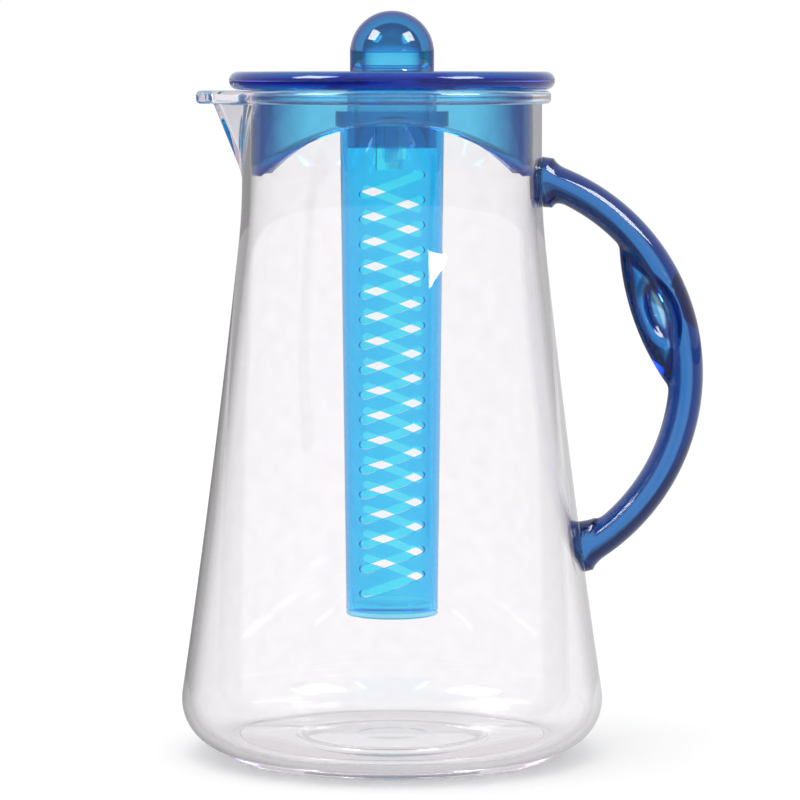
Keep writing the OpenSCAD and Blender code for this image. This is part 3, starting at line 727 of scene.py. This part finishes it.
# %% Fit the pieces
fits = [
    (jug, "carafe", "carafe_body", "clear_acrylic", clear_acrylic),
    (base, "carafe", "base_disc", "clear_acrylic", base_acrylic),
    (handle, "carafe", "handle", "blue_plastic", handle_acrylic),
    (lid_cover, "lid_top", "lid_cover", "blue_plastic", blue_acrylic),
    (lid_skirt, "lid_base", "lid_skirt", "blue_plastic", blue_acrylic),
    (tube, "infuser", "infuser_tube", "cyan_plastic", cyan_plastic),
    (cap, "infuser", "infuser_cap", "pale_cyan_plastic", pale_cyan_plastic),
]
for piece, body, node_name, slot, material in fits:
    piece.data.materials.clear()
    piece.data.materials.append(material)
    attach(piece, body)
    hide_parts(node_name)
    print(piece.name, "rides on", body)
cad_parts["infuser_socket"].data.materials[0] = dark_blue_acrylic

# %% [markdown]
# ## Camera
# The photograph was taken from a little above the rim with a long lens.

# %% Camera
target = Vector((2.7, 0.0, 120.5)) * MM
distance, pitch = 1.348, math.radians(4.87)
camera = bpy.data.objects.new("camera", bpy.data.cameras.new("camera"))
camera.data.sensor_width = 36.0
camera.data.lens = 178.4
camera.data.dof.use_dof = False
camera.location = target + distance * Vector((0, -math.cos(pitch), math.sin(pitch)))
camera.rotation_euler = (target - camera.location).to_track_quat("-Z", "Y").to_euler()
scene.collection.objects.link(camera)
scene.camera = camera

# %% [markdown]
# ## Light
# The background is white for the camera. Seen through plastic, it falls off to grey overhead. Light that
# was mirrored and has crossed only a few walls sees a grey room instead, which draws the dark edges of
# clear mouldings. Light mirrored deep inside the jug sees white, which keeps the infuser bright. These
# rules are set for the photograph's angle. Two windows of light at the upper left and right and a small
# one beside the camera make the highlights.

# %% World
FEW_WALLS = 4.5
world = bpy.data.worlds.new("studio")
world.use_nodes = True
scene.world = world
tree = world.node_tree
tree.nodes.clear()
path = add_node(tree, "ShaderNodeLightPath")
way = add_node(tree, "ShaderNodeTexCoord").outputs["Generated"]
parts = add_node(tree, "ShaderNodeSeparateXYZ", {"Vector": way})
overhead = add_node(tree, "ShaderNodeMapRange", {
    "Value": parts.outputs["Z"], "From Min": 0.015, "From Max": 0.08, "To Min": 1.0, "To Max": 0.45,
}, interpolation_type="SMOOTHSTEP")
bearing = add_node(tree, "ShaderNodeMath", {
    0: parts.outputs["X"], 1: parts.outputs["Y"],
}, operation="ARCTAN2")
room = add_node(tree, "ShaderNodeValToRGB", {
    "Fac": add_node(tree, "ShaderNodeMapRange", {
        "Value": bearing.outputs[0], "From Min": -math.pi, "From Max": math.pi,
    }).outputs["Result"],
})
ramp = room.color_ramp
ramp.elements[0].position, ramp.elements[0].color = 0.0, (0.35, 0.35, 0.35, 1)
ramp.elements[1].position, ramp.elements[1].color = 1.0, (0.35, 0.35, 0.35, 1)
room_levels = ((-90, 0.3), (-60, 0.2), (-36, 0.3), (-4, 0.45), (4, 0.5), (30, 0.5), (60, 0.2), (90, 0.3))
for degrees, level in room_levels:
    stop = ramp.elements.new(0.5 + degrees / 360)
    stop.color = (level, level, level, 1)
mirrored = add_node(tree, "ShaderNodeMath", {
    0: path.outputs["Glossy Depth"], 1: 0.5,
}, operation="GREATER_THAN")
low = add_node(tree, "ShaderNodeMath", {0: parts.outputs["Z"], 1: 0.04}, operation="LESS_THAN")
room_level = add_node(tree, "ShaderNodeMix", {
    "Factor": low.outputs[0], 2: 0.8, 3: room.outputs["Color"],
}, data_type="FLOAT")
shallow = add_node(tree, "ShaderNodeMath", {
    0: path.outputs["Transmission Depth"], 1: FEW_WALLS,
}, operation="LESS_THAN")
shaded = add_node(tree, "ShaderNodeMath", {
    0: mirrored.outputs[0], 1: shallow.outputs[0],
}, operation="MULTIPLY")
deep = add_node(tree, "ShaderNodeMath", {
    0: mirrored.outputs[0], 1: shaded.outputs[0],
}, operation="SUBTRACT")
above = add_node(tree, "ShaderNodeMix", {
    "Factor": deep.outputs[0], 2: overhead.outputs["Result"], 3: 1.0,
}, data_type="FLOAT")
bent = add_node(tree, "ShaderNodeMix", {
    "Factor": shaded.outputs[0], 2: above.outputs[0], 3: room_level.outputs[0],
}, data_type="FLOAT")
plastic = add_node(tree, "ShaderNodeMath", {
    0: path.outputs["Is Transmission Ray"], 1: path.outputs["Is Glossy Ray"],
}, operation="MAXIMUM")
seen = add_node(tree, "ShaderNodeMix", {
    "Factor": plastic.outputs[0], 2: 1.0, 3: bent.outputs[0],
}, data_type="FLOAT")
sky = add_node(tree, "ShaderNodeBackground", {"Color": linear("FFFFFF"), "Strength": seen.outputs[0]})
add_node(tree, "ShaderNodeOutputWorld", {"Surface": sky.outputs["Background"]})

# %% Lamps


def window(name, place, size, radiance):
    """Soft window of light that faces the jug and shows only in reflections and through the plastic."""
    lamp = bpy.data.lights.new(name, "AREA")
    lamp.shape, lamp.size, lamp.size_y = "RECTANGLE", size[0], size[1]
    lamp.energy = radiance * math.pi * size[0] * size[1]
    thing = bpy.data.objects.new(name, lamp)
    thing.location = place
    thing.rotation_euler = (Vector((0, 0, 0.15)) - Vector(place)).to_track_quat("-Z", "Y").to_euler()
    thing.visible_camera = thing.visible_diffuse = False
    scene.collection.objects.link(thing)


window("window_left", (-0.88, -0.36, 1.1), (0.55, 0.55), 16)
window("window_right", (0.84, -0.5, 1.05), (0.55, 0.55), 16)
window("window_front", (0.79, -1.16, 0.39), (0.34, 0.012), 20)

top = bpy.data.objects.new("top_light", bpy.data.lights.new("top_light", "AREA"))
top.data.size = 1.2
top.data.energy = 6
top.location = (-0.2, -0.3, 1.6)
top.rotation_euler = (Vector((0, 0, 0)) - top.location).to_track_quat("-Z", "Y").to_euler()
top.visible_camera = top.visible_glossy = top.visible_transmission = False
scene.collection.objects.link(top)

# %% [markdown]
# The floor is a plain pale sheet. It adds a little white of its own where it is looked at, so that it
# runs into the background, and keeps the soft shadow under the jug. Mirrored in the plastic, it is dark
# on the left by the same rule as the room, which draws the jug's left outline.

# %% Floor
bpy.ops.mesh.primitive_grid_add(x_subdivisions=2, y_subdivisions=2, size=9.0, location=(0, 0, 0))
floor = bpy.context.object
floor.name = "floor"
for vertex in floor.data.vertices:
    vertex.co.z = -0.0003
paper = bpy.data.materials.new("white_paper")
paper.use_nodes = True
tree = paper.node_tree
tree.nodes.clear()
path = add_node(tree, "ShaderNodeLightPath")
matt = add_node(tree, "ShaderNodeBsdfDiffuse", {"Color": linear("DCDCDC")})
looked = add_node(tree, "ShaderNodeMath", {
    0: path.outputs["Is Camera Ray"], 1: path.outputs["Is Glossy Ray"],
}, operation="MAXIMUM")
fill = add_node(tree, "ShaderNodeMath", {0: looked.outputs[0], 1: 0.28}, operation="MULTIPLY")
glow = add_node(tree, "ShaderNodeEmission", {"Color": linear("FFFFFF"), "Strength": fill.outputs[0]})
sheet = add_node(tree, "ShaderNodeAddShader", {0: matt.outputs[0], 1: glow.outputs[0]})
mirrored = add_node(tree, "ShaderNodeMath", {
    0: path.outputs["Glossy Depth"], 1: 0.5,
}, operation="GREATER_THAN")
across = add_node(tree, "ShaderNodeSeparateXYZ", {
    "Vector": add_node(tree, "ShaderNodeTexCoord").outputs["Object"],
})
left_level = add_node(tree, "ShaderNodeMapRange", {
    "Value": path.outputs["Transmission Depth"], "To Min": 0.0, "To Max": 0.55,
})
shade = add_node(tree, "ShaderNodeMapRange", {
    "Value": across.outputs["X"], "From Min": -0.15, "From Max": 0.15,
    "To Min": left_level.outputs["Result"], "To Max": 0.75,
})
shallow = add_node(tree, "ShaderNodeMath", {
    0: path.outputs["Transmission Depth"], 1: FEW_WALLS,
}, operation="LESS_THAN")
shaded = add_node(tree, "ShaderNodeMath", {
    0: mirrored.outputs[0], 1: shallow.outputs[0],
}, operation="MULTIPLY")
bright = add_node(tree, "ShaderNodeMix", {
    "Factor": shaded.outputs[0], 2: 1.0, 3: shade.outputs["Result"],
}, data_type="FLOAT")
white = add_node(tree, "ShaderNodeEmission", {"Color": linear("FFFFFF"), "Strength": bright.outputs[0]})
bent = add_node(tree, "ShaderNodeMath", {
    0: path.outputs["Is Transmission Ray"], 1: mirrored.outputs[0],
}, operation="MAXIMUM")
through = add_node(tree, "ShaderNodeMath", {0: bent.outputs[0], 1: 0.8}, operation="MULTIPLY")
add_node(tree, "ShaderNodeOutputMaterial", {
    "Surface": add_node(tree, "ShaderNodeMixShader", {
        0: through.outputs[0], 1: sheet.outputs[0], 2: white.outputs[0],
    }).outputs[0],
})
floor.data.materials.append(paper)

# %% [markdown]
# ## Finish
# Light may cross many walls before it leaves the jug, so the paths through plastic are long.

# %% Finish
scene.view_settings.view_transform = "Standard"
scene.cycles.max_bounces = 48
scene.cycles.transmission_bounces = 48
scene.cycles.glossy_bounces = 16
scene.cycles.transparent_max_bounces = 32
